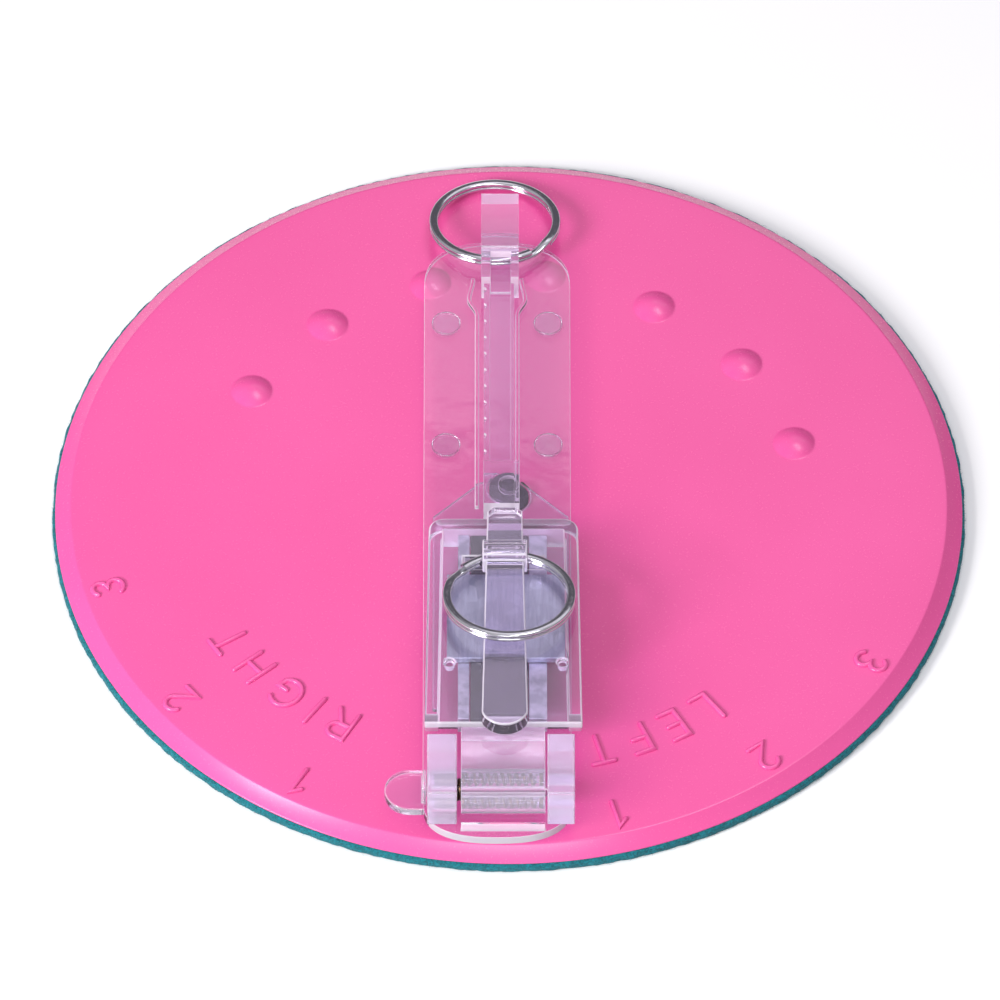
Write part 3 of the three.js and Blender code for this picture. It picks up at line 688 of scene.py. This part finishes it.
def buildSpring():
    low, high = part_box("pin_spring")
    axis = joints["hood_lift"]["pos_m"]
    s = springSizes
    wire, radius = s["wire"] * mm, s["radius"] * mm
    turns = s["closeTurns"] + s["openTurns"]
    closeLength = s["closeTurns"] * wire * s["closePitch"]
    openLength = high.x - low.x - 2 * wire - closeLength
    path = []
    for i in range(turns * s["stepsPerTurn"] + 1):
        turn = i / s["stepsPerTurn"]
        close = min(turn, s["closeTurns"]) / s["closeTurns"]
        spread = max(turn - s["closeTurns"], 0) / s["openTurns"]
        angle = 2 * math.pi * turn
        outwards = Vector((0, math.cos(angle), math.sin(angle)))
        centre = Vector((low.x + wire + closeLength * close + openLength * spread, axis[1], axis[2]))
        path.append((centre + outwards * radius, outwards, Vector((1, 0, 0))))
    section = [(wire * math.cos(a), wire * math.sin(a)) for a in roundAngles(s["corners"])]
    coil = sweptMesh("pinSpring", path, section, 180)
    coil.data.materials.append(springSteel)
    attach(coil, "swivel_arm")
    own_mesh(coil)
    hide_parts("pin_spring")


buildSpring()
print("magnet set, pin and spring built")


ringSizes = dict(band=1.33, layer=0.67, height=1.4, mean=9.3, crossing=26, steps=260, corners=16,
                 fullness=0.75)


def buildRing(name, node, crossAt):
    # two turns of flat wire with rounded edges, which cross over at crossAt degrees
    r = ringSizes
    low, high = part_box(node)
    centre = (low + high) / 2
    span = high - low
    tilt = -math.atan2(span.z - r["height"] * mm, span.y)
    turnMatrix = Matrix.Rotation(tilt, 3, "X")
    half = r["layer"] * mm * 0.5
    bandHalf = r["band"] * mm / 2
    path = []
    total = 720 - r["crossing"]
    for i in range(r["steps"] + 1):
        along = r["crossing"] / 2 + total * i / r["steps"]
        into = min(max((along - 360 + r["crossing"] / 2) / r["crossing"], 0), 1)
        lift = (into * into * (3 - 2 * into) * 2 - 1) * (half + 0.01 * mm)
        angle = math.radians(along + crossAt)
        outwards = Vector((math.cos(angle), math.sin(angle), 0))
        point = outwards * r["mean"] * mm + Vector((0, 0, lift))
        path.append((centre + turnMatrix @ point, turnMatrix @ outwards, turnMatrix @ Vector((0, 0, 1))))
    section = []
    for angle in roundAngles(r["corners"]):
        c, s = math.cos(angle), math.sin(angle)
        across = bandHalf * math.copysign(abs(c) ** r["fullness"], c)
        up = half * math.copysign(abs(s) ** r["fullness"], s)
        section.append((across, up))
    piece = sweptMesh(name, path, section, 50)
    settle(piece, node, nickel)


buildRing("farRing", "far_ring", 318)
buildRing("nearRing", "near_ring", 150)
print("rings built")


stageSizes = dict(floor=6.0, floorColour="#f8f8f8", floorRough=0.9, floorDrop=0.02)


def buildStage():
    material = startMaterial("paleFloor", {
        "Base Color": linear(stageSizes["floorColour"]), "Roughness": stageSizes["floorRough"]})[0]
    size = stageSizes["floor"] / 2
    corners = [(-size, -size, 0), (size, -size, 0), (size, size, 0), (-size, size, 0)]
    floor = meshObject("floor", corners, [[0, 1, 2, 3]])
    floor.location.z = -stageSizes["floorDrop"] * mm
    floor.data.materials.append(material)


lights = {
    # name: (place in m, aim in m, size in m, power in W, colour)
    "keyWindow": ((-0.48, -0.38, 0.36), (0, 0, 0), (0.22, 0.22), 4.7, "#ffffff"),
    "topPanel": ((0.25, 0.2, 1.1), (0, 0, 0), (0.5, 0.3), 2.4, "#fbf8ff"),
    "farPanel": ((0.25, 0.75, 0.75), (0, 0, 0), (0.7, 0.3), 0.55, "#fbf6ff"),
    "frontWindow": ((0.0, -0.72, 0.74), (0, -0.06, 0), (0.5, 0.14), 2.4, "#ffffff"),
}


studioTone = dict(low="#bdb8c4", high="#f6f4fa", patch="#77737d", patchScale=1.6, patchEdge=(0.48, 0.6),
                  strength=0.62)


def buildLights():
    for name, (place, aim, size, power, colour) in lights.items():
        data = bpy.data.lights.new(name, "AREA")
        data.shape = "RECTANGLE"
        data.size, data.size_y = size
        data.energy = power
        data.color = linear(colour)[:3]
        lamp = bpy.data.objects.new(name, data)
        lamp.location = place
        lamp.rotation_euler = (Vector(aim) - Vector(place)).to_track_quat("-Z", "Y").to_euler()
        bpy.context.scene.collection.objects.link(lamp)
    world = bpy.data.worlds.new("studio")
    bpy.context.scene.world = world
    world.use_nodes = True
    tree = world.node_tree
    tree.nodes.clear()
    way = addNode(tree, "ShaderNodeTexCoord").outputs["Generated"]
    height = addNode(tree, "ShaderNodeSeparateXYZ", links={0: way}).outputs[2]
    rise = ramp(tree, height, 0.05, 0.9)
    tone = mixColours(tree, rise, linear(studioTone["low"]), linear(studioTone["high"]))
    patches = addNode(tree, "ShaderNodeTexNoise", {
        "Scale": studioTone["patchScale"], "Detail": 1}, {"Vector": way})
    cover = ramp(tree, patches.outputs[0], *studioTone["patchEdge"])
    tone = mixColours(tree, cover, tone, linear(studioTone["patch"]))
    back = addNode(tree, "ShaderNodeBackground", {"Strength": studioTone["strength"]}, {"Color": tone})
    addNode(tree, "ShaderNodeOutputWorld", links={"Surface": back.outputs[0]})


# degrees above the floor, metres away, mm of lens on a sensor of that width, aim in mm
viewSizes = dict(elevation=50.13, distance=3.21, lens=768.7, sensor=36, farClip=20, aim=(-1.32, 0.65))


def buildCamera():
    v = viewSizes
    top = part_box("pivot_washer")[0].z
    target = Vector((v["aim"][0] * mm, v["aim"][1] * mm, top))
    rise = math.radians(v["elevation"])
    place = target + Vector((0, -math.cos(rise), math.sin(rise))) * v["distance"]
    data = bpy.data.cameras.new("camera")
    data.lens = v["lens"]
    data.sensor_width = v["sensor"]
    data.clip_end = v["farClip"]
    camera = bpy.data.objects.new("camera", data)
    camera.location = place
    camera.rotation_euler = (target - place).to_track_quat("-Z", "Y").to_euler()
    bpy.context.scene.collection.objects.link(camera)
    bpy.context.scene.camera = camera


buildStage()
buildLights()
buildCamera()
bpy.context.scene.view_settings.view_transform = "Standard"
clearBounces = 24  # thick clear pieces pass light back and forth many times
bpy.context.scene.cycles.max_bounces = clearBounces
bpy.context.scene.cycles.transmission_bounces = clearBounces
print("stage, lights and camera set")
